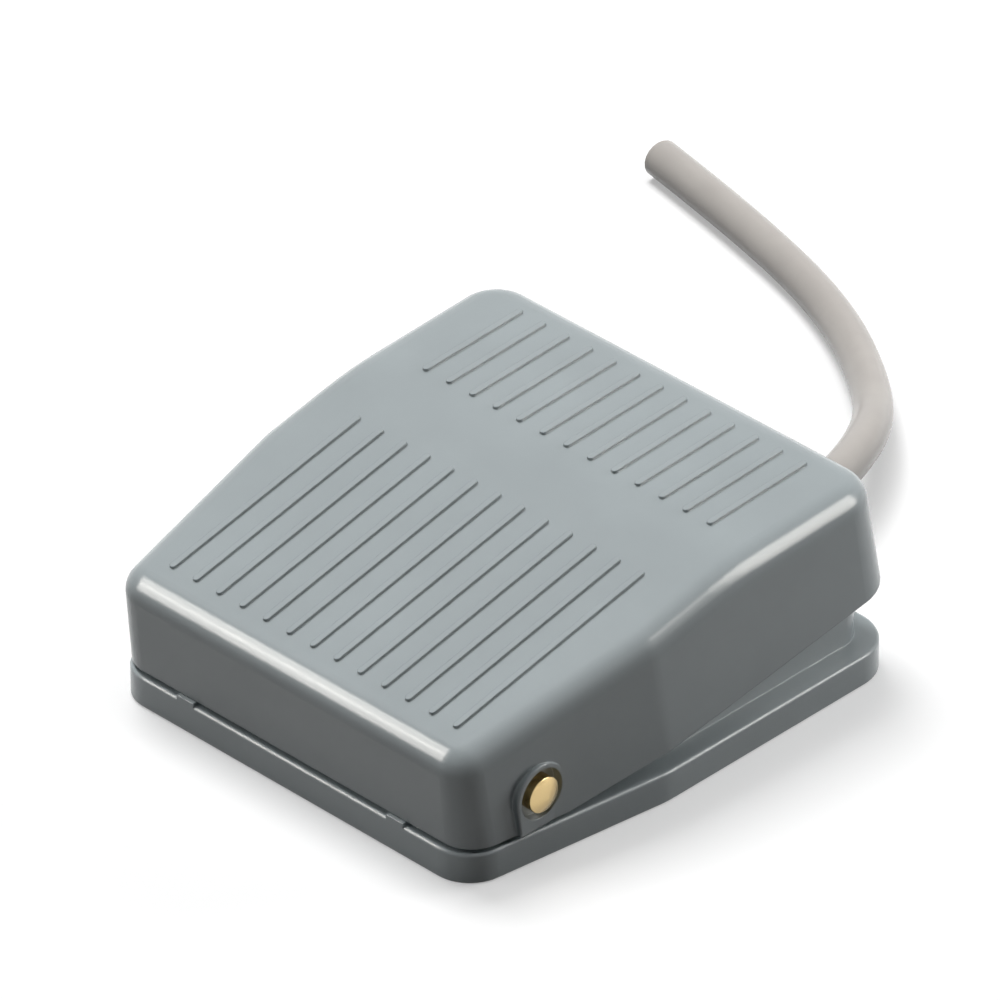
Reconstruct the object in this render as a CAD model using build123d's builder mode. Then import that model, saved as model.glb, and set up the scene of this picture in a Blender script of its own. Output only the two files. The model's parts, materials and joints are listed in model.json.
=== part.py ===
from build123d import *
from math import asin, cos, degrees, radians, sin, tan
import os

# Foot switch with one pedal
# Millimetres, +Z up. The origin is the middle of the base on the floor, and -Y is the toe end.
# Sizes called from_front are measured back from the front edge of the base.

# Base
base_width = 79.0
base_length = 82.6
base_front_width = 69.3
taper_length = 35.1
base_front_corner = 6.3
base_rear_corner = 7.5
side_bend = 12.0
flange_top = 5.0
flange_edge = 0.5
foot_edge = 0.15
floor_top = 4.2

# Rubber sole
sole_thickness = 2.1
sole_proud = 0.1
sole_inset = 4.0

# Pedal
pedal_side_gap = 0.3
pedal_front_gap = 0.05
pedal_overhang = 0.1
pedal_front_corner = 5.4
pedal_rear_corner = 7.4
pedal_wall = 2.2
pedal_draft = 2.5
pedal_edge = 4.0
toe_gap = 0.65
rest_tilt = 8.1
travel = 7.0
crown_from_front = 52.0
crown_height = 26.0
toe_slope = 3.5
heel_slope = 5.6
crown_radius = 65.0

# Raised grip lines on the pedal
line_count = 13
line_pitch = 4.64
line_width = 1.0
line_height = 0.4
toe_lines_from_front = 6.2
toe_line_length = 38.2
heel_lines_from_front = 57.3
heel_lines_from_rear = 5.4

# Stiffening ribs under the pedal's top
rib_thickness = 1.5
rib_depth = 3.5
rib_offset = 21.0
cross_ribs_from_front = (36.5, 72.5)

# Pivot
pivot_from_front = 13.0
pivot_height = 11.1
pin_radius = 2.0
running_fit = 0.05
press_fit = 0.01
pin_head_radius = 2.75
pin_head_height = 1.9
pin_dome = 0.7
pin_head_gap = 0.1
head_recess_radius = 3.95
head_recess_depth = 1.55
boss_radius = 4.7
boss_proud = 0.05
boss_edge = 0.25
boss_heel_gap = 0.3
bearing_length = 2.2
washer_thickness = 0.6
washer_radius = 4.6
washer_gap = 0.05
cap_wall = 0.9

# Frame wall of the base, which stands inside the pedal's skirt
skirt_clearance = 1.3
frame_wall = 2.0
frame_top = 16.5
lug_radius = 5.0
lug_depth = 5.5
lug_margin = 0.6
screen_top = 19.5
screen_margin = 1.5

# Toe stops
tab_offset = 20.7
tab_width = 3.3
tab_depth = 2.0
tab_gap = 0.1

# Switch
switch_length = 27.8
switch_height = 15.9
switch_case_thickness = 7.5
switch_cover_thickness = 2.8
switch_corner = 0.8
switch_seat = 4.5
switch_from_front = 20.4
switch_right_end = 10.8
plunger_radius = 1.6
plunger_fit = 0.06
plunger_proud = 2.1
plunger_depth = 3.0
plunger_well = 5.2
plunger_dome = 1.5
pad_gap = 0.1
pad_radius = 3.4
pad_shift = 0.8
switch_hole_run = 20.0
switch_hole_rise = 8.0
post_thickness = 4.2
post_margin = 1.2
post_top = 19.0

# Screws
screw_radius = 1.5
screw_clearance = 0.1
screw_head_radius = 2.8
screw_head_height = 1.9
screw_cross_length = 3.4
screw_cross_width = 0.7
screw_cross_depth = 1.1

# Blade terminals, receptacles and wires
terminal_width = 4.8
terminal_thickness = 0.8
terminal_length = 6.4
terminal_depth = 2.0
terminal_pitch = 4.6
terminal_bevel = 0.9
common_height = 7.85
receptacle_length = 8.0
receptacle_gap = 1.2
receptacle_wall = 0.5
barrel_radius = 1.5
barrel_length = 4.0
wire_radius = 0.9
wire_spread = 1.4
wire_bend = 4.0
wire_inset = 11.0
live_bend_from_front = 49.0
return_bend_from_front = 44.0
wire_turn_from_front = 35.0

# Return spring
spring_from_front = 52.0
spring_radius = 5.5
spring_wire = 1.1
spring_turns = 6
spring_gap = 0.1
spring_seat = 5.0
spring_seat_radius = 7.2
spring_peg_radius = 4.2
spring_peg_height = 5.0
spring_peg_draft = 4.0
pedal_peg_radius = 3.3
pedal_peg_height = 3.5
pedal_peg_shift = 1.0

# Rubber stops under the heel
stop_from_front = 60.0
stop_inset = 12.5
stop_pillar_radius = 4.0
stop_pillar_top = 12.6
stop_pad_radius = 3.4
stop_pad_height = 2.2
stop_stem_radius = 1.4
stop_stem_length = 3.0
stop_gap = 0.1
stop_leg_radius = 3.0

# Cord, its boot and its clamp
cord_radius = 3.0
cord_x = 12.0
cord_z = 9.5
cord_inner_from_rear = 16.6
boot_hole_radius = 3.9
boot_flange_radius = 5.0
boot_flange = 1.4
boot_collar_radius = 4.4
boot_length = 10.0
boot_tip_radius = 3.7
arch_clearance = 1.0
clamp_from_rear = 13.6
clamp_length = 4.4
clamp_pitch = 13.0
clamp_width = 19.0
clamp_height = 4.2
clamp_corner = 1.0
clamp_split = 0.4

# Places worked out from the sizes above
front_edge = -base_length / 2
rear_edge = base_length / 2
pedal_width = base_width - 2 * pedal_side_gap
pedal_front_width = base_front_width - 2 * pedal_front_gap
pivot_y = front_edge + pivot_from_front
crown_y = front_edge + crown_from_front
spring_y = front_edge + spring_from_front
stop_y = front_edge + stop_from_front
clamp_y = rear_edge - clamp_from_rear
cord_inner = rear_edge - cord_inner_from_rear
heel_line_length = base_length - heel_lines_from_front - heel_lines_from_rear
toe_bottom = flange_top + toe_gap
frame_inset = pedal_wall + skirt_clearance
wall_outer = rear_edge + pedal_overhang - frame_inset
wall_inner = wall_outer - frame_wall
side_at_pivot = (
    base_front_width + (base_width - base_front_width) * pivot_from_front / taper_length
) / 2
boss_face = side_at_pivot + boss_proud
head_recess_floor = boss_face - head_recess_depth
lug_face = head_recess_floor - bearing_length - washer_thickness - 2 * washer_gap
head_bottom = head_recess_floor + pin_head_gap
head_top = head_bottom + pin_head_height
switch_front = front_edge + switch_from_front
switch_split = switch_front + switch_case_thickness
switch_rear = switch_split + switch_cover_thickness
switch_top = switch_seat + switch_height
switch_x = switch_right_end - switch_length / 2
plunger_y = (switch_front + switch_rear) / 2
switch_holes = (
    (switch_x - switch_hole_run / 2, switch_seat + (switch_height - switch_hole_rise) / 2),
    (switch_x + switch_hole_run / 2, switch_seat + (switch_height + switch_hole_rise) / 2),
)
terminal_y = switch_front + switch_case_thickness / 2
open_height = common_height + terminal_pitch
closed_height = open_height + terminal_pitch
wire_x = base_width / 2 - wire_inset
receptacle_x = switch_right_end + receptacle_gap
barrel_x = receptacle_x + receptacle_length
clamp_bottom = cord_z + clamp_split / 2
clamp_top = clamp_bottom + clamp_height
clamp_holes = ((cord_x - clamp_pitch / 2, clamp_y), (cord_x + clamp_pitch / 2, clamp_y))
stop_offset = base_width / 2 - stop_inset
stops = ((stop_offset, stop_y), (-stop_offset, stop_y))

# Route of the cord from the wall of the base to the cut end, down and along the floor
cord_route = (
    (cord_x, 39.0, cord_z),
    (cord_x, 52.0, cord_z),
    (6.5, 69.0, 8.5),
    (-4.0, 83.0, 4.5),
    (-24.5, 97.0, 3.0),
    (-50.0, 105.0, 3.0),
    (-74.0, 110.0, 3.0),
)
cord_bends = (36.0, 43.0, 43.5, 73.0, 223.0)


def at_rest(y, z):
    """Where a point of the level pedal stands once the pedal is tilted up about its pivot."""
    back = y - pivot_y
    up = z - pivot_height
    turn = radians(rest_tilt)
    return Vector(
        0,
        pivot_y + back * cos(turn) - up * sin(turn),
        pivot_height + back * sin(turn) + up * cos(turn),
    )


def level_height(y, z, tilt):
    """Height on the level pedal of what stands at y and z when the pedal is tilted."""
    turn = radians(tilt)
    return pivot_height + (z - pivot_height) * cos(turn) - (y - pivot_y) * sin(turn)


def top_height(y):
    """Height of the level pedal's top, before its crown is rounded."""
    if y < crown_y:
        return crown_height - (crown_y - y) * tan(radians(toe_slope))
    return crown_height - (y - crown_y) * tan(radians(heel_slope))


# Directions and planes of the pedal, tilted as it rests
pedal_up = Vector(0, -sin(radians(rest_tilt)), cos(radians(rest_tilt)))
pedal_back = Vector(0, cos(radians(rest_tilt)), sin(radians(rest_tilt)))
pedal_level = Plane(origin=at_rest(0, 0), x_dir=(1, 0, 0), z_dir=pedal_up)
pedal_side = Plane(origin=at_rest(0, 0), x_dir=pedal_back, z_dir=(1, 0, 0))

# Levels on the pedal of what meets other pieces. The skirt's edge meets the toe's behind the bosses.
skirt_bottom = level_height(pivot_y + boss_radius + boss_heel_gap, toe_bottom, rest_tilt)
pad_level = level_height(plunger_y, switch_top + plunger_proud + pad_gap, rest_tilt)
stop_level = level_height(stop_y, stop_pillar_top + stop_pad_height + stop_gap, rest_tilt - travel)
arch_level = level_height(rear_edge, cord_z, rest_tilt - travel)
arch_radius = boot_collar_radius + arch_clearance
arch_start = rear_edge - frame_inset


def along_pivot(x):
    """Plane across the pivot's axis at x, facing +X."""
    return Plane(origin=(x, pivot_y, pivot_height), x_dir=(0, 1, 0), z_dir=(1, 0, 0))


def facing_heel(x, y, z):
    """Upright plane through a point, facing the heel."""
    return Plane(origin=(x, y, z), x_dir=(1, 0, 0), z_dir=(0, 1, 0))


def outline(width, front_width, toe, heel, front_corner, rear_corner, inset):
    """Plan with parallel sides behind that taper to the toe, moved in by the inset."""
    half = width / 2
    half_front = front_width / 2
    bend = front_edge + taper_length
    with BuildSketch() as plan:
        with BuildLine():
            FilletPolyline(
                (half_front, toe),
                (half, bend),
                (half, heel),
                (-half, heel),
                (-half, bend),
                (-half_front, toe),
                radius=[front_corner, side_bend, rear_corner, rear_corner, side_bend, front_corner],
                close=True,
            )
        make_face()
        if inset:
            offset(amount=-inset, kind=Kind.INTERSECTION)
    return plan.sketch


def base_outline(inset=0):
    """Plan of the base."""
    return outline(
        base_width,
        base_front_width,
        front_edge,
        rear_edge,
        base_front_corner,
        base_rear_corner,
        inset,
    )


def pedal_outline(inset=0):
    """Plan of the pedal's skirt, which follows the base."""
    return outline(
        pedal_width,
        pedal_front_width,
        front_edge - pedal_overhang,
        rear_edge + pedal_overhang,
        pedal_front_corner,
        pedal_rear_corner,
        inset,
    )


def rim(form):
    """Edges round the top of a pedal form, without the seams between its top faces."""
    tops = [face for face in form.faces() if face.normal_at().Z > cos(radians(30))]
    edges = [edge for face in tops for edge in face.edges()]
    return [edge for edge in edges if sum(edge.is_same(other) for other in edges) == 1]


def pedal_form(inset, edge_radius, depth):
    """The outside of the pedal or, moved in by the wall, its hollow down to this depth."""
    far = 2 * base_length
    with BuildPart() as form:
        with BuildSketch(pedal_level.offset(skirt_bottom - depth)):
            add(pedal_outline(inset - depth * tan(radians(pedal_draft))))
        extrude(amount=crown_height + depth, taper=pedal_draft)
        with BuildSketch(pedal_side) as profile:
            with BuildLine():
                Polyline(
                    (-far, -crown_height),
                    (-far, top_height(-far) - inset),
                    (crown_y, crown_height - inset),
                    (far, top_height(far) - inset),
                    (far, -crown_height),
                    close=True,
                )
            make_face()
            fillet(profile.vertices().sort_by(Axis.Y)[-1], radius=crown_radius - inset)
        extrude(amount=base_width, both=True, mode=Mode.INTERSECT)
        fillet(rim(form), radius=edge_radius)
    return form.part


def pivot_boss(side):
    """Boss outside the pin's head, which runs down to the skirt's edge."""
    root = (side * lug_face, pivot_y, pivot_height)
    with BuildPart() as boss:
        with BuildSketch(Plane(origin=root, x_dir=pedal_back, z_dir=(1, 0, 0))):
            Circle(boss_radius)
            with Locations((0, (skirt_bottom - pivot_height) / 2)):
                Rectangle(2 * boss_radius, pivot_height - skirt_bottom)
        extrude(amount=side * (boss_face - lug_face))
        outer_face = boss.faces().sort_by(Axis.X, reverse=side < 0)[-1]
        fillet(outer_face.edges(), radius=boss_edge)
    return boss.part


def pin_head(side):
    """Domed head on the pivot, on the +X side or the -X side."""
    dome_radius = (pin_head_radius**2 + pin_dome**2) / (2 * pin_dome)
    dome_angle = degrees(asin(pin_head_radius / dome_radius))
    with BuildPart() as head:
        # Half section, turned about the pivot
        with BuildSketch(Plane.XY.offset(pivot_height)):
            with BuildLine():
                dome = CenterArc(
                    (side * (head_top + pin_dome - dome_radius), pivot_y),
                    dome_radius,
                    90 - side * 90,
                    side * dome_angle,
                )
                Polyline(
                    dome @ 1,
                    (side * head_bottom, pivot_y + pin_head_radius),
                    (side * head_bottom, pivot_y),
                    dome @ 0,
                )
            make_face()
        revolve(axis=Axis((0, pivot_y, pivot_height), (1, 0, 0)))
    return head.part


def screw(length):
    """Pan-head cross screw along -Z, with the underside of its head at the origin."""
    with BuildPart() as piece:
        with BuildSketch():
            Circle(screw_head_radius)
        extrude(amount=screw_head_height)
        fillet(piece.edges().sort_by(Axis.Z)[-1], radius=screw_head_height / 2)
        with BuildSketch():
            Circle(screw_radius)
        extrude(amount=-length)
        with BuildSketch(Plane.XY.offset(screw_head_height)):
            Rectangle(screw_cross_length, screw_cross_width)
            Rectangle(screw_cross_width, screw_cross_length)
        extrude(amount=-screw_cross_depth, mode=Mode.SUBTRACT)
    return piece.part


def blade(height):
    """Flat terminal out of the switch's right end, with its free corners bevelled."""
    with BuildPart() as piece:
        with BuildSketch(Plane.XY.offset(height - terminal_thickness / 2)) as flat:
            with Locations((switch_right_end + (terminal_length - terminal_depth) / 2, terminal_y)):
                Rectangle(terminal_length + terminal_depth, terminal_width)
            chamfer(flat.vertices().group_by(Axis.X)[-1], length=terminal_bevel)
        extrude(amount=terminal_thickness)
    return piece.part


def wire(x, bend_from_front, height):
    """Insulated conductor from the cord's inner end to the barrel at this height."""
    with BuildPart() as piece:
        with BuildLine() as route:
            FilletPolyline(
                (x, cord_inner, cord_z),
                (x, front_edge + bend_from_front, cord_z),
                (wire_x, front_edge + wire_turn_from_front, height),
                (wire_x, terminal_y, height),
                (barrel_x, terminal_y, height),
                radius=wire_bend,
            )
        with BuildSketch(Plane(origin=route.line @ 0, z_dir=route.line % 0)):
            Circle(wire_radius)
        sweep()
    return piece.part


with BuildPart() as pedal_hollow:
    add(pedal_form(pedal_wall, pedal_edge - pedal_wall, skirt_bottom))
    # Gaps that leave the stiffening ribs standing
    with BuildSketch(pedal_level.offset(crown_height - pedal_wall - rib_depth)):
        with GridLocations(2 * rib_offset, base_length, 2, 1):
            Rectangle(rib_thickness, base_length)
        for from_front in cross_ribs_from_front:
            with Locations((0, front_edge + from_front)):
                Rectangle(base_width, rib_thickness)
    extrude(amount=crown_height, mode=Mode.SUBTRACT)

with BuildPart() as pedal:
    add(pedal_form(0, pedal_edge, 0))
    add(pivot_boss(1))
    add(pivot_boss(-1))
    add(pedal_hollow.part, mode=Mode.SUBTRACT)
    # Toe cut away level, clear of the base while the heel is up
    with BuildSketch(Plane.XY.offset(toe_bottom)):
        Rectangle(2 * base_width, 2 * base_length)
    extrude(amount=-crown_height, mode=Mode.SUBTRACT)
    # Bosses inside the skirt, which run on the washers
    for side in (1, -1):
        with BuildSketch(along_pivot(side * (lug_face + washer_thickness + 2 * washer_gap))):
            Circle(boss_radius)
        extrude(amount=side * bearing_length)
    # Pad over the plunger, peg in the spring and legs over the stops
    with BuildSketch(pedal_level.offset(pad_level)):
        with Locations((0, plunger_y + pad_shift)):
            Circle(pad_radius)
    extrude(amount=top_height(plunger_y) - pedal_wall / 2 - pad_level)
    with BuildSketch(pedal_level.offset(crown_height - pedal_wall - pedal_peg_height)):
        with Locations((0, spring_y + pedal_peg_shift)):
            Circle(pedal_peg_radius)
    extrude(amount=pedal_peg_height + pedal_wall / 2)
    with BuildSketch(pedal_level.offset(stop_level)):
        with Locations(*stops):
            Circle(stop_leg_radius)
    extrude(amount=top_height(stop_y) - pedal_wall / 2 - stop_level)
    # Bores for the pin and recesses for its heads
    with BuildSketch(along_pivot(-base_width)):
        Circle(pin_radius + running_fit)
    extrude(amount=2 * base_width, mode=Mode.SUBTRACT)
    for side in (1, -1):
        with BuildSketch(along_pivot(side * head_recess_floor)):
            Circle(head_recess_radius)
        extrude(amount=side * pedal_edge, mode=Mode.SUBTRACT)
    # Arch in the heel over the cord's boot
    with BuildSketch(Plane(origin=at_rest(arch_start, 0), x_dir=(1, 0, 0), z_dir=-pedal_back)):
        with Locations((cord_x, arch_level)):
            Circle(arch_radius)
        with Locations((cord_x, arch_level / 2)):
            Rectangle(2 * arch_radius, arch_level)
    extrude(amount=-2 * frame_inset, mode=Mode.SUBTRACT)
    # Grip lines in front of the crown and behind it
    for from_front, length, slope in (
        (toe_lines_from_front, toe_line_length, toe_slope),
        (heel_lines_from_front, heel_line_length, -heel_slope),
    ):
        middle = front_edge + from_front + length / 2
        top = Plane(
            origin=at_rest(middle, top_height(middle)),
            x_dir=(1, 0, 0),
            z_dir=pedal_up.rotate(Axis.X, slope),
        )
        with BuildSketch(top.offset(-line_height)):
            with GridLocations(line_pitch, line_pitch, line_count, 1):
                SlotOverall(length, line_width, rotation=90)
        extrude(amount=2 * line_height)

with BuildPart() as base:
    with BuildSketch(Plane.XY.offset(sole_proud)):
        add(base_outline())
    extrude(amount=flange_top - sole_proud)
    fillet(base.faces().sort_by(Axis.Z)[-1].edges(), radius=flange_edge)
    chamfer(base.faces().sort_by(Axis.Z)[0].edges(), length=foot_edge)
    # Frame wall inside the skirt
    with BuildSketch(Plane.XY.offset(floor_top)):
        add(pedal_outline(frame_inset))
    extrude(amount=frame_top - floor_top)
    with BuildSketch(Plane.XY.offset(floor_top)):
        add(pedal_outline(frame_inset + frame_wall))
    extrude(amount=frame_top, mode=Mode.SUBTRACT)
    # Screen behind the arch in the pedal's heel
    with BuildSketch(Plane.XY.offset(frame_top)):
        with Locations((cord_x, (wall_inner + wall_outer) / 2)):
            Rectangle(2 * (arch_radius + screen_margin), frame_wall)
    extrude(amount=screen_top - frame_top)
    # Lugs for the pin, faced off for the washers
    for side in (1, -1):
        with BuildSketch(along_pivot(side * lug_face)):
            Circle(lug_radius)
        extrude(amount=-side * lug_depth)
        with BuildSketch(along_pivot(side * lug_face)):
            Circle(lug_radius + lug_margin)
        extrude(amount=side * frame_inset, mode=Mode.SUBTRACT)
    with BuildSketch(along_pivot(-base_width)):
        Circle(pin_radius + press_fit)
    extrude(amount=2 * base_width, mode=Mode.SUBTRACT)
    # Stops under the toe
    with BuildSketch(Plane.XY.offset(floor_top)):
        with Locations((0, front_edge + tab_depth / 2)):
            with GridLocations(2 * tab_offset, tab_depth, 2, 1):
                Rectangle(tab_width, tab_depth)
    extrude(amount=toe_bottom - tab_gap - floor_top)
    # Seat under the switch and the post that it is screwed to
    with BuildSketch(Plane.XY.offset(sole_thickness)):
        with Locations((switch_x, plunger_y)):
            Rectangle(switch_length, switch_rear - switch_front)
    extrude(amount=switch_seat - sole_thickness)
    with BuildSketch(Plane.XY.offset(sole_thickness)):
        with Locations((switch_x, switch_front - post_thickness / 2)):
            Rectangle(switch_length + 2 * post_margin, post_thickness)
    extrude(amount=post_top - sole_thickness)
    for x, z in switch_holes:
        with BuildSketch(facing_heel(x, switch_front, z)):
            Circle(screw_radius + press_fit)
        extrude(amount=-post_thickness, mode=Mode.SUBTRACT)
    # Seat and peg of the return spring
    with BuildSketch(Plane.XY.offset(sole_thickness)):
        with Locations((0, spring_y)):
            Circle(spring_seat_radius)
    extrude(amount=spring_seat - sole_thickness)
    with BuildSketch(Plane.XY.offset(spring_seat)):
        with Locations((0, spring_y)):
            Circle(spring_peg_radius)
    extrude(amount=spring_peg_height, taper=spring_peg_draft)
    # Pillars for the rubber stops
    with BuildSketch(Plane.XY.offset(sole_thickness)):
        with Locations(*stops):
            Circle(stop_pillar_radius)
    extrude(amount=stop_pillar_top - sole_thickness)
    with BuildSketch(Plane.XY.offset(stop_pillar_top)):
        with Locations(*stops):
            Circle(stop_stem_radius + press_fit)
    extrude(amount=-stop_stem_length, mode=Mode.SUBTRACT)
    # Saddle under the cord, with its screw holes
    with BuildSketch(Plane.XY.offset(sole_thickness)):
        with Locations((cord_x, clamp_y)):
            Rectangle(clamp_width, clamp_length)
    extrude(amount=cord_z - clamp_split / 2 - sole_thickness)
    with BuildSketch(Plane.XY.offset(floor_top)):
        with Locations(*clamp_holes):
            Circle(screw_radius + press_fit)
    extrude(amount=cord_z, mode=Mode.SUBTRACT)
    with BuildSketch(facing_heel(cord_x, clamp_y - clamp_length, cord_z)):
        Circle(cord_radius + press_fit)
    extrude(amount=2 * clamp_length, mode=Mode.SUBTRACT)
    # Hole for the cord's boot
    with BuildSketch(facing_heel(cord_x, wall_inner - frame_wall, cord_z)):
        Circle(boot_hole_radius + press_fit)
    extrude(amount=3 * frame_wall, mode=Mode.SUBTRACT)
    # Recess for the sole
    with BuildSketch():
        add(base_outline(sole_inset))
    extrude(amount=sole_thickness, mode=Mode.SUBTRACT)

with BuildPart() as sole:
    with BuildSketch():
        add(base_outline(sole_inset))
    extrude(amount=sole_thickness)

with BuildPart() as pivot_pin:
    add(pin_head(1))
    with BuildSketch(along_pivot(head_top - cap_wall)):
        Circle(pin_radius)
    extrude(amount=-2 * (head_top - cap_wall))

with BuildPart() as pivot_cap:
    add(pin_head(-1))
    with BuildSketch(along_pivot(-head_bottom)):
        Circle(pin_radius + press_fit)
    extrude(amount=cap_wall - pin_head_height, mode=Mode.SUBTRACT)

with BuildPart() as pivot_washers:
    for side in (1, -1):
        with BuildSketch(along_pivot(side * (lug_face + washer_gap))):
            Circle(washer_radius)
            Circle(pin_radius + running_fit, mode=Mode.SUBTRACT)
        extrude(amount=side * washer_thickness)

# The spring stands between its seat and the lowest of the pedal's underside above it
spring_front = spring_y - spring_radius - spring_wire / 2
crown_inside = at_rest(crown_y, crown_height - pedal_wall)
underside_slope = radians(rest_tilt + toe_slope)
spring_top = crown_inside.Z + (spring_front - crown_inside.Y) * tan(underside_slope) - spring_gap
coil_bottom = spring_seat + spring_gap + spring_wire / 2
coil_height = spring_top - spring_wire / 2 - coil_bottom

with BuildPart() as return_spring:
    with BuildLine() as coil:
        Helix(
            pitch=coil_height / spring_turns,
            height=coil_height,
            radius=spring_radius,
            center=(0, spring_y, coil_bottom),
        )
    with BuildSketch(Plane(origin=coil.line @ 0, z_dir=coil.line % 0)):
        Circle(spring_wire / 2)
    sweep(is_frenet=True)

with BuildPart() as stop_pads:
    with BuildSketch(Plane.XY.offset(stop_pillar_top)):
        with Locations(*stops):
            Circle(stop_pad_radius)
    extrude(amount=stop_pad_height)
    with BuildSketch(Plane.XY.offset(stop_pillar_top)):
        with Locations(*stops):
            Circle(stop_stem_radius)
    extrude(amount=-stop_stem_length)

with BuildPart() as switch_case:
    with BuildSketch(facing_heel(switch_x, switch_front, switch_seat + switch_height / 2)):
        RectangleRounded(switch_length, switch_height, switch_corner)
    extrude(amount=switch_case_thickness)
    for x, z in switch_holes:
        with BuildSketch(facing_heel(x, switch_front, z)):
            Circle(screw_radius + screw_clearance)
        extrude(amount=switch_case_thickness, mode=Mode.SUBTRACT)
    with BuildSketch(Plane.XY.offset(switch_top)):
        with Locations((0, plunger_y)):
            Circle(plunger_radius + plunger_fit)
    extrude(amount=-plunger_well, mode=Mode.SUBTRACT)
    with BuildSketch(Plane.YZ.offset(switch_right_end)):
        with Locations((terminal_y, open_height)):
            with GridLocations(terminal_width, terminal_pitch, 1, 3):
                Rectangle(terminal_width, terminal_thickness)
    extrude(amount=-terminal_depth, mode=Mode.SUBTRACT)

with BuildPart() as switch_cover:
    with BuildSketch(facing_heel(switch_x, switch_split, switch_seat + switch_height / 2)):
        RectangleRounded(switch_length, switch_height, switch_corner)
    extrude(amount=switch_cover_thickness)
    fillet(switch_cover.faces().sort_by(Axis.Y)[-1].edges(), radius=switch_corner / 2)
    for x, z in switch_holes:
        with BuildSketch(facing_heel(x, switch_split, z)):
            Circle(screw_radius + screw_clearance)
        extrude(amount=switch_cover_thickness, mode=Mode.SUBTRACT)

with BuildPart() as switch_plunger:
    with BuildSketch(Plane.XY.offset(switch_top - plunger_depth)):
        with Locations((0, plunger_y)):
            Circle(plunger_radius)
    extrude(amount=plunger_depth + plunger_proud)
    fillet(switch_plunger.edges().sort_by(Axis.Z)[-1], radius=plunger_dome)

with BuildPart() as switch_screws:
    for x, z in switch_holes:
        with Locations(facing_heel(x, switch_rear, z)):
            add(screw(switch_rear - switch_front + post_thickness / 2))

with BuildPart() as terminal_common:
    add(blade(common_height))

with BuildPart() as terminal_open:
    add(blade(open_height))

with BuildPart() as terminal_closed:
    add(blade(closed_height))

with BuildPart() as receptacles:
    for height in (common_height, open_height):
        with BuildSketch(Plane.YZ.offset(receptacle_x)):
            with Locations((terminal_y, height)):
                Rectangle(terminal_width + 2 * receptacle_wall, terminal_thickness + 2 * receptacle_wall)
        extrude(amount=receptacle_length)
        with BuildSketch(Plane.YZ.offset(barrel_x)):
            with Locations((terminal_y, height)):
                Circle(barrel_radius)
        extrude(amount=barrel_length)
        with BuildSketch(Plane.YZ.offset(receptacle_x)):
            with Locations((terminal_y, height)):
                Rectangle(terminal_width, terminal_thickness)
        extrude(amount=receptacle_length - receptacle_wall, mode=Mode.SUBTRACT)
        with BuildSketch(Plane.YZ.offset(barrel_x)):
            with Locations((terminal_y, height)):
                Circle(wire_radius + press_fit)
        extrude(amount=barrel_length, mode=Mode.SUBTRACT)

with BuildPart() as wire_live:
    add(wire(cord_x + wire_spread, live_bend_from_front, open_height))

with BuildPart() as wire_return:
    add(wire(cord_x - wire_spread, return_bend_from_front, common_height))

with BuildPart() as cord_clamp:
    with BuildSketch(Plane.XY.offset(clamp_bottom)):
        with Locations((cord_x, clamp_y)):
            RectangleRounded(clamp_width, clamp_length, clamp_corner)
        with Locations(*clamp_holes):
            Circle(screw_radius + screw_clearance, mode=Mode.SUBTRACT)
    extrude(amount=clamp_height)
    with BuildSketch(facing_heel(cord_x, clamp_y - clamp_length, cord_z)):
        Circle(cord_radius + press_fit)
    extrude(amount=2 * clamp_length, mode=Mode.SUBTRACT)

with BuildPart() as clamp_screws:
    for x, y in clamp_holes:
        with Locations((x, y, clamp_top)):
            add(screw(clamp_top - floor_top - screw_clearance))

with BuildPart() as cord_boot:
    # Half section, turned about the cord
    with BuildSketch(Plane.XY.offset(cord_z)):
        with BuildLine():
            Polyline(
                (cord_x + cord_radius + press_fit, wall_inner - boot_flange),
                (cord_x + boot_flange_radius, wall_inner - boot_flange),
                (cord_x + boot_flange_radius, wall_inner),
                (cord_x + boot_hole_radius, wall_inner),
                (cord_x + boot_hole_radius, wall_outer),
                (cord_x + boot_collar_radius, wall_outer),
                (cord_x + boot_tip_radius, wall_outer + boot_length),
                (cord_x + cord_radius + press_fit, wall_outer + boot_length),
                close=True,
            )
        make_face()
    revolve(axis=Axis((cord_x, 0, cord_z), (0, 1, 0)))

with BuildPart() as cord:
    with BuildLine() as route:
        FilletPolyline(*cord_route, radius=list(cord_bends))
    with BuildSketch(Plane(origin=route.line @ 0, z_dir=route.line % 0)):
        Circle(cord_radius)
    sweep()
    # Stretch inside the base, up to where its sheath ends
    with BuildSketch(facing_heel(cord_x, cord_inner, cord_z)):
        Circle(cord_radius)
    extrude(amount=cord_route[0][1] - cord_inner)

os.makedirs("parts", exist_ok=True)
base.part.label = "base"
export_step(base.part, "parts/base.step")
sole.part.label = "sole"
export_step(sole.part, "parts/sole.step")
pedal.part.label = "pedal"
export_step(pedal.part, "parts/pedal.step")
pivot_pin.part.label = "pivot_pin"
export_step(pivot_pin.part, "parts/pivot_pin.step")
pivot_cap.part.label = "pivot_cap"
export_step(pivot_cap.part, "parts/pivot_cap.step")
pivot_washers.part.label = "pivot_washers"
export_step(pivot_washers.part, "parts/pivot_washers.step")
return_spring.part.label = "return_spring"
export_step(return_spring.part, "parts/return_spring.step")
stop_pads.part.label = "stop_pads"
export_step(stop_pads.part, "parts/stop_pads.step")
switch_case.part.label = "switch_case"
export_step(switch_case.part, "parts/switch_case.step")
switch_cover.part.label = "switch_cover"
export_step(switch_cover.part, "parts/switch_cover.step")
switch_plunger.part.label = "switch_plunger"
export_step(switch_plunger.part, "parts/switch_plunger.step")
switch_screws.part.label = "switch_screws"
export_step(switch_screws.part, "parts/switch_screws.step")
terminal_common.part.label = "terminal_common"
export_step(terminal_common.part, "parts/terminal_common.step")
terminal_open.part.label = "terminal_open"
export_step(terminal_open.part, "parts/terminal_open.step")
terminal_closed.part.label = "terminal_closed"
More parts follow.
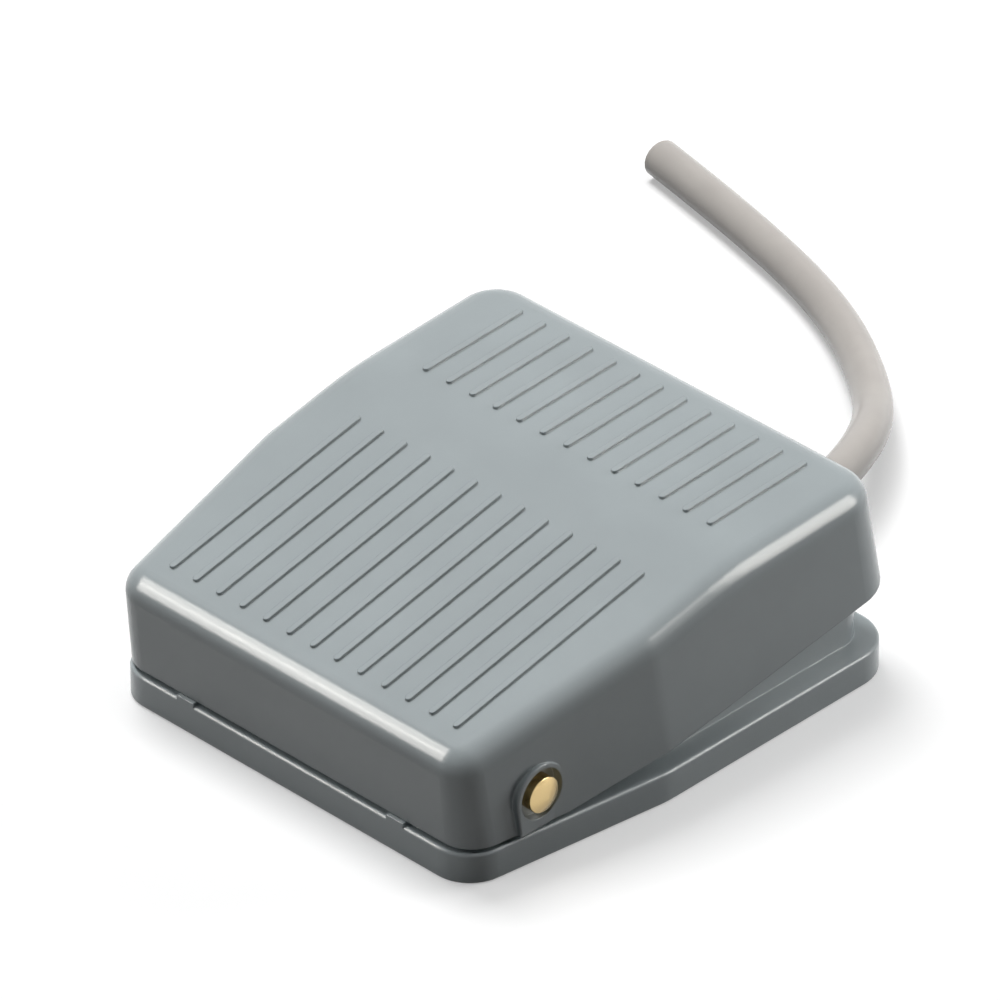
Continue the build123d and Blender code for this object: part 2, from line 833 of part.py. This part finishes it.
export_step(terminal_closed.part, "parts/terminal_closed.step")
receptacles.part.label = "receptacles"
export_step(receptacles.part, "parts/receptacles.step")
wire_live.part.label = "wire_live"
export_step(wire_live.part, "parts/wire_live.step")
wire_return.part.label = "wire_return"
export_step(wire_return.part, "parts/wire_return.step")
cord_clamp.part.label = "cord_clamp"
export_step(cord_clamp.part, "parts/cord_clamp.step")
clamp_screws.part.label = "clamp_screws"
export_step(clamp_screws.part, "parts/clamp_screws.step")
cord_boot.part.label = "cord_boot"
export_step(cord_boot.part, "parts/cord_boot.step")
cord.part.label = "cord"
export_step(cord.part, "parts/cord.step")
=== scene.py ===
import json
import math

import bmesh
import bpy
from mathutils import Matrix, Vector

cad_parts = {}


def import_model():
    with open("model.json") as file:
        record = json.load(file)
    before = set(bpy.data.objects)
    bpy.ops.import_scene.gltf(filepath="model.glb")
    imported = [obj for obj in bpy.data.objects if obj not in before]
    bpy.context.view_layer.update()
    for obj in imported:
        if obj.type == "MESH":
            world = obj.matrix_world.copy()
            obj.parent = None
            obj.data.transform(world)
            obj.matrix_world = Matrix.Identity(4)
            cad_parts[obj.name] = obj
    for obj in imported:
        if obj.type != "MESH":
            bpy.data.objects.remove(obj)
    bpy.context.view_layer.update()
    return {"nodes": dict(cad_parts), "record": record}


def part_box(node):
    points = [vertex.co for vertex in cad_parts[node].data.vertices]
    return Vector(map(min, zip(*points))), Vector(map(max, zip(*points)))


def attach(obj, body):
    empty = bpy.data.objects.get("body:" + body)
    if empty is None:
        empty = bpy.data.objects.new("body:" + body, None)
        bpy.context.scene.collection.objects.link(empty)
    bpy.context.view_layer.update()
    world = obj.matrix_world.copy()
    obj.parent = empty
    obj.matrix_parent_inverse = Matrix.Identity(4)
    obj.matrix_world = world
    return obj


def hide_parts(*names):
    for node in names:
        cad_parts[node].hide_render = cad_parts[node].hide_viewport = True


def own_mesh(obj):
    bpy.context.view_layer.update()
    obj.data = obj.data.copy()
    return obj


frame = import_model()

# Lengths are in metres, angles in degrees and colours linear

# Camera, which stands where the photograph was taken from, with lens and sensor in millimetres
CAMERA_PLACE = (1.03288, -1.05225, 1.01995)
CAMERA_AZIMUTH = 44.45
CAMERA_ELEVATION = 33.90
CAMERA_LENS = 456.7
CAMERA_SENSOR = 36.0
CAMERA_NEAR = 0.1
CAMERA_FAR = 20.0

# Cord, on its solid's route apart from the last three points, which follow the photograph closer
CORD_X = 0.012
CORD_Z = 0.0095
CORD_RADIUS = 0.003
CORD_ROUTE = (
    (CORD_X, 0.0390, CORD_Z),
    (CORD_X, 0.0520, CORD_Z),
    (0.0065, 0.0690, 0.0085),
    (-0.0040, 0.0830, 0.0045),
    (-0.0245, 0.0974, 0.0030),
    (-0.0500, 0.1056, 0.0030),
    (-0.0740, 0.1105, 0.0030),
)
CORD_STEPS = 24
CORD_ROUNDNESS = 8

# Sheath inside the base, whose stripped end has a rounded edge, as distances in and shares of the radius
SHEATH_END_Y = 0.0247
SHEATH_EDGE = ((0.0, 0.80), (0.0002, 0.94), (0.0005, 1.0))
SHEATH_SIDES = 48

# Return spring, with the thickness of its wire, its turns, the rings in each turn and the sides of its wire
SPRING_WIRE = 0.0011
SPRING_TURNS = 6
SPRING_STEPS = 40
SPRING_SIDES = 12

# Colours
PEDAL_GREY = (0.317, 0.355, 0.366)
BASE_GREY = (0.440, 0.490, 0.505)
CORD_GREY = (0.425, 0.398, 0.372)
BRASS = (0.600, 0.450, 0.225)
SWITCH_BLACK = (0.022, 0.022, 0.024)
RUBBER_BLACK = (0.025, 0.025, 0.026)
NYLON_WHITE = (0.720, 0.710, 0.670)
STEEL = (0.560, 0.565, 0.575)
PLUNGER_RED = (0.420, 0.030, 0.025)
WIRE_BROWN = (0.130, 0.055, 0.025)
WIRE_BLUE = (0.030, 0.110, 0.420)

# Finishes: radius of the edges, depth of the grain, and the part of the noise's range that is used
SOFT_EDGE = 0.0003
FINE_EDGE = 0.0002
SCREW_EDGE = 0.00015
EDGE_SAMPLES = 6
SHEATH_GRAIN = 0.0000008
SATIN_GRAIN = 0.0000015
BRASS_GRAIN = 0.000003
STEEL_GRAIN = 0.000004
RUBBER_GRAIN = 0.00004
CLOUD_DETAIL = 4.0
GRAIN_DETAIL = 3.0
NOISE_LOW = 0.3
NOISE_HIGH = 0.7

# Floor: its colour as it is seen and for the light it throws back, and its glow, which rises to 1,
# plain white, between the reach of the shadow and a place further out
FLOOR_REACH = 3.0
FLOOR_ROUGHNESS = 0.9
FLOOR_WHITE = (0.660, 0.660, 0.660)
FLOOR_BOUNCE = (0.080, 0.080, 0.080)
FLOOR_GLOW = 0.34
SHADOW_REACH = 0.15
WHITE_FROM = 0.45

# Lamps, aimed at one point in the object; the front strips stand on an arc, at these elevations
LIT_POINT = (0.0, 0.0, 0.025)
STRIP_TINT = (1.0, 0.96, 0.91)
STRIP_DISTANCE = 1.2
FRONT_STRIPS = {"lower front strip": 29.0, "upper front strip": 55.0}
FRONT_STRIP_ACROSS = -0.58
FRONT_STRIP_OUT = 0.81


def placed(name, data):
    """Object made from its data, in the scene."""
    thing = bpy.data.objects.new(name, data)
    bpy.context.scene.collection.objects.link(thing)
    return thing


def noise(tree, scale, detail, stretch=(1.0, 1.0, 1.0)):
    """Noise in metres of the object's own space."""
    nodes = tree.nodes
    place = nodes.new("ShaderNodeTexCoord")
    mapping = nodes.new("ShaderNodeMapping")
    mapping.inputs["Scale"].default_value = stretch
    texture = nodes.new("ShaderNodeTexNoise")
    texture.inputs["Scale"].default_value = scale
    texture.inputs["Detail"].default_value = detail
    tree.links.new(place.outputs["Object"], mapping.inputs["Vector"])
    tree.links.new(mapping.outputs["Vector"], texture.inputs["Vector"])
    return texture.outputs["Fac"]


def ranged(tree, value, low, high, start=NOISE_LOW, end=NOISE_HIGH):
    """Value from start to end mapped to low to high."""
    node = tree.nodes.new("ShaderNodeMapRange")
    node.inputs["From Min"].default_value = start
    node.inputs["From Max"].default_value = end
    node.inputs["To Min"].default_value = low
    node.inputs["To Max"].default_value = high
    tree.links.new(value, node.inputs["Value"])
    return node.outputs["Result"]


def mixed(tree, factor, first, second):
    """Colour that goes from the first to the second with the factor."""
    node = tree.nodes.new("ShaderNodeMix")
    node.data_type = "RGBA"
    node.inputs["A"].default_value = (*first, 1)
    node.inputs["B"].default_value = (*second, 1)
    tree.links.new(factor, node.inputs["Factor"])
    return node.outputs["Result"]


def calculated(tree, operation, first, second):
    """Result of an operation on two values."""
    node = tree.nodes.new("ShaderNodeMath")
    node.operation = operation
    tree.links.new(first, node.inputs[0])
    tree.links.new(second, node.inputs[1])
    return node.outputs[0]


def surface(
    name,
    colour,
    roughness,
    metallic=0.0,
    spread=0.04,
    cloud=60.0,
    grain=3000.0,
    grain_depth=0.00001,
    patchy=0.07,
    edge=0.0,
    stretch=(1.0, 1.0, 1.0),
):
    """Procedural finish: cloudy colour, fine grain in roughness and relief, edges that catch the light."""
    material = bpy.data.materials.new(name)
    material.use_nodes = True
    tree = material.node_tree
    shader = tree.nodes["Principled BSDF"]
    shader.inputs["Metallic"].default_value = metallic
    cloudy = ranged(tree, noise(tree, cloud, CLOUD_DETAIL), 0.0, 1.0)
    darker = [c * (1 - spread) for c in colour]
    lighter = [c * (1 + spread) for c in colour]
    tree.links.new(mixed(tree, cloudy, darker, lighter), shader.inputs["Base Color"])
    fine = noise(tree, grain, GRAIN_DETAIL, stretch)
    rough = ranged(tree, fine, roughness * (1 - patchy), roughness * (1 + patchy))
    tree.links.new(rough, shader.inputs["Roughness"])
    bump = tree.nodes.new("ShaderNodeBump")
    bump.inputs["Distance"].default_value = grain_depth
    bump.inputs["Strength"].default_value = 1.0
    tree.links.new(fine, bump.inputs["Height"])
    if edge:
        bevel = tree.nodes.new("ShaderNodeBevel")
        bevel.samples = EDGE_SAMPLES
        bevel.inputs["Radius"].default_value = edge
        tree.links.new(bevel.outputs["Normal"], bump.inputs["Normal"])
    tree.links.new(bump.outputs["Normal"], shader.inputs["Normal"])
    return material


finishes = {
    "pedal_plastic": surface(
        "moulded pedal", PEDAL_GREY, roughness=0.22, edge=SOFT_EDGE, grain_depth=SATIN_GRAIN
    ),
    "grey_plastic": surface(
        "moulded base", BASE_GREY, roughness=0.24, edge=SOFT_EDGE, grain_depth=SATIN_GRAIN
    ),
    "cord_sheath": surface(
        "cord sheath", CORD_GREY, roughness=0.22, cloud=140.0, grain_depth=SHEATH_GRAIN, patchy=0.015
    ),
    "brass": surface(
        "brass", BRASS, roughness=0.24, metallic=1.0, spread=0.08, edge=FINE_EDGE, grain_depth=BRASS_GRAIN
    ),
    "switch_plastic": surface("switch plastic", SWITCH_BLACK, roughness=0.45, edge=FINE_EDGE),
    "sole_rubber": surface(
        "sole rubber", RUBBER_BLACK, roughness=0.75, spread=0.15, grain=1600.0, grain_depth=RUBBER_GRAIN
    ),
    "white_plastic": surface("nylon", NYLON_WHITE, roughness=0.40, edge=FINE_EDGE),
    "screw_steel": surface(
        "zinc", STEEL, roughness=0.28, metallic=1.0, spread=0.10, edge=SCREW_EDGE, grain_depth=STEEL_GRAIN
    ),
    "spring_steel": surface(
        "spring wire", STEEL, roughness=0.22, metallic=1.0, stretch=(1.0, 1.0, 6.0), grain_depth=STEEL_GRAIN
    ),
    "plunger_plastic": surface("plunger", PLUNGER_RED, roughness=0.30, edge=FINE_EDGE),
    "wire_brown": surface("brown insulation", WIRE_BROWN, roughness=0.32),
    "wire_blue": surface("blue insulation", WIRE_BLUE, roughness=0.32),
}

# Carried-over nodes take the finish of their slot
for part in frame["record"]["subparts"]:
    node = frame["nodes"][part["node"]]
    node.data.materials.clear()
    node.data.materials.append(finishes[part["material_slot"]])


def make_cord():
    """The lead, from inside the boot to its cut end, on one smooth spline."""
    curve = bpy.data.curves.new("lead", "CURVE")
    curve.dimensions = "3D"
    curve.bevel_depth = CORD_RADIUS
    curve.bevel_resolution = CORD_ROUNDNESS
    curve.resolution_u = CORD_STEPS
    curve.use_fill_caps = True
    spline = curve.splines.new("NURBS")
    spline.points.add(len(CORD_ROUTE) - 1)
    for point, place in zip(spline.points, CORD_ROUTE):
        point.co = (*place, 1.0)
    spline.order_u = 3
    spline.use_endpoint_u = True
    curve.materials.append(finishes["cord_sheath"])
    lead = placed("lead", curve)
    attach(lead, "base")
    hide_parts("cord")


def skin(name, rings, finish):
    """Closed smooth tube through rings of points."""
    mesh = bmesh.new()
    loops = [[mesh.verts.new(point) for point in ring] for ring in rings]
    for first, second in zip(loops, loops[1:]):
        for i in range(len(first)):
            mesh.faces.new((first[i - 1], first[i], second[i], second[i - 1])).smooth = True
    mesh.faces.new(loops[0])
    mesh.faces.new(loops[-1][::-1])
    bmesh.ops.recalc_face_normals(mesh, faces=mesh.faces)
    data = bpy.data.meshes.new(name)
    mesh.to_mesh(data)
    mesh.free()
    data.materials.append(finish)
    return placed(name, data)


def inner_sheath():
    """Stretch of the lead's sheath inside the base, from its stripped end to where the spline takes over."""
    stations = [(SHEATH_END_Y + step, CORD_RADIUS * share) for step, share in SHEATH_EDGE]
    stations.append((CORD_ROUTE[0][1], CORD_RADIUS))
    turns = [2 * math.pi * i / SHEATH_SIDES for i in range(SHEATH_SIDES)]
    rings = [
        [(CORD_X + radius * math.sin(t), y, CORD_Z + radius * math.cos(t)) for t in turns]
        for y, radius in stations
    ]
    sheath = skin("lead_inner", rings, finishes["cord_sheath"])
    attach(sheath, "base")
    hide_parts("cord")


def coil_spring():
    """The return spring with closed end turns, as a coil that fills the solid spring's box."""
    low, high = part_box("return_spring")
    middle = ((low[0] + high[0]) / 2, (low[1] + high[1]) / 2)
    coil_radius = (high[0] - low[0] - SPRING_WIRE) / 2
    bottom = low[2] + SPRING_WIRE / 2
    rise = high[2] - low[2] - SPRING_WIRE
    steps = SPRING_TURNS * SPRING_STEPS
    rings = []
    for i in range(steps + 1):
        share = i / steps
        turn = 2 * math.pi * SPRING_TURNS * share
        out = Vector((math.cos(turn), math.sin(turn), 0.0))
        height = bottom + rise * share * share * (3 - 2 * share)
        centre = Vector((*middle, height)) + out * coil_radius
        ring = []
        for j in range(SPRING_SIDES):
            angle = 2 * math.pi * j / SPRING_SIDES
            spoke = out * math.cos(angle) + Vector((0.0, 0.0, 1.0)) * math.sin(angle)
            ring.append(centre + spoke * SPRING_WIRE / 2)
        rings.append(ring)
    coil = skin("coil", rings, finishes["spring_steel"])
    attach(coil, "base")
    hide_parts("return_spring")
    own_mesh(coil)


def camera():
    """Camera at the photograph's angle and place."""
    data = bpy.data.cameras.new("camera")
    data.lens = CAMERA_LENS
    data.sensor_width = CAMERA_SENSOR
    data.clip_start = CAMERA_NEAR
    data.clip_end = CAMERA_FAR
    azimuth = math.radians(CAMERA_AZIMUTH)
    elevation = math.radians(CAMERA_ELEVATION)
    level = math.cos(elevation)
    back = Vector((math.sin(azimuth) * level, -math.cos(azimuth) * level, math.sin(elevation)))
    right = Vector((math.cos(azimuth), math.sin(azimuth), 0.0))
    up = back.cross(right)
    turn = Matrix((right, up, back)).transposed().to_4x4()
    eye = placed("camera", data)
    eye.matrix_world = Matrix.Translation(CAMERA_PLACE) @ turn
    bpy.context.scene.camera = eye


def seen_or_mirrored(tree):
    """1 for what the camera sees, straight, mirrored or through glass, and 0 for light on its way."""
    path = tree.nodes.new("ShaderNodeLightPath")
    seen = path.outputs["Is Camera Ray"]
    for kind in ("Is Glossy Ray", "Is Transmission Ray"):
        seen = calculated(tree, "MAXIMUM", seen, path.outputs[kind])
    return seen


def world():
    """White background, which shows and mirrors but lights nothing."""
    sky = bpy.data.worlds.new("studio")
    bpy.context.scene.world = sky
    sky.use_nodes = True
    tree = sky.node_tree
    tree.nodes.clear()
    output = tree.nodes.new("ShaderNodeOutputWorld")
    white = tree.nodes.new("ShaderNodeBackground")
    white.inputs["Color"].default_value = (1, 1, 1, 1)
    tree.links.new(seen_or_mirrored(tree), white.inputs["Strength"])
    tree.links.new(white.outputs[0], output.inputs["Surface"])


def floor():
    """Floor that looks white and keeps the object's shadow, and throws back little light."""
    far = FLOOR_REACH
    mesh = bpy.data.meshes.new("floor")
    mesh.from_pydata([(-far, -far, 0), (far, -far, 0), (far, far, 0), (-far, far, 0)], [], [(0, 1, 2, 3)])
    ground = placed("floor", mesh)
    material = bpy.data.materials.new("floor")
    material.use_nodes = True
    tree = material.node_tree
    shader = tree.nodes["Principled BSDF"]
    shader.inputs["Roughness"].default_value = FLOOR_ROUGHNESS
    shader.inputs["Specular IOR Level"].default_value = 0.0
    seen = seen_or_mirrored(tree)
    tree.links.new(mixed(tree, seen, FLOOR_BOUNCE, FLOOR_WHITE), shader.inputs["Base Color"])
    place = tree.nodes.new("ShaderNodeTexCoord")
    distance = tree.nodes.new("ShaderNodeVectorMath")
    distance.operation = "LENGTH"
    tree.links.new(place.outputs["Object"], distance.inputs[0])
    level = ranged(tree, distance.outputs["Value"], FLOOR_GLOW, 1.0, start=SHADOW_REACH, end=WHITE_FROM)
    shader.inputs["Emission Color"].default_value = (1, 1, 1, 1)
    tree.links.new(calculated(tree, "MULTIPLY", seen, level), shader.inputs["Emission Strength"])
    mesh.materials.append(material)


def lamp(name, direction, distance, size, power, along=(0.0, 0.0, 1.0)):
    """Soft box in a direction from the object, aimed at it, its height turned along a direction."""
    data = bpy.data.lights.new(name, "AREA")
    data.shape = "RECTANGLE"
    data.size, data.size_y = size
    data.energy = power
    box = placed(name, data)
    toward = Vector(direction).normalized()
    box.location = Vector(LIT_POINT) + toward * distance
    side = Vector(along).cross(toward).normalized()
    turn = Matrix((side, toward.cross(side), toward)).transposed()
    box.rotation_euler = turn.to_euler()
    return box


def fill(name, direction, distance, size, power):
    """Lamp that lights the surfaces and isn't mirrored in them."""
    lamp(name, direction, distance, size, power).visible_glossy = False


def strip(name, direction, size, power, along=(0.0, 0.0, 1.0)):
    """Lamp that only shows as a highlight on the edges."""
    box = lamp(name, direction, STRIP_DISTANCE, size, power, along)
    box.data.color = STRIP_TINT
    box.visible_diffuse = False


def lights():
    """Soft light from above, weaker light from the sides, and strips for the highlights of toe and heel."""
    fill("key", (-0.46, 0.10, 1.00), distance=1.5, size=(0.7, 0.7), power=17.0)
    fill("top fill", (0.00, 0.05, 1.00), distance=1.5, size=(0.9, 0.9), power=7.5)
    fill("front fill", (-0.60, -0.80, 0.60), distance=1.3, size=(0.6, 0.5), power=2.6)
    fill("rear right fill", (0.50, 0.95, 0.35), distance=0.45, size=(0.25, 0.20), power=0.9)
    for name, elevation in FRONT_STRIPS.items():
        level = math.cos(math.radians(elevation))
        height = math.sin(math.radians(elevation))
        direction = (FRONT_STRIP_ACROSS, -FRONT_STRIP_OUT * level, FRONT_STRIP_OUT * height)
        strip(name, direction, size=(0.20, 0.54), power=4.9, along=(0.0, height, level))
    strip("rear right strip", (0.62, 0.61, 0.50), size=(0.50, 0.80), power=12.5)


make_cord()
inner_sheath()
coil_spring()
camera()
world()
floor()
lights()

scene = bpy.context.scene
scene.view_settings.view_transform = "Standard"
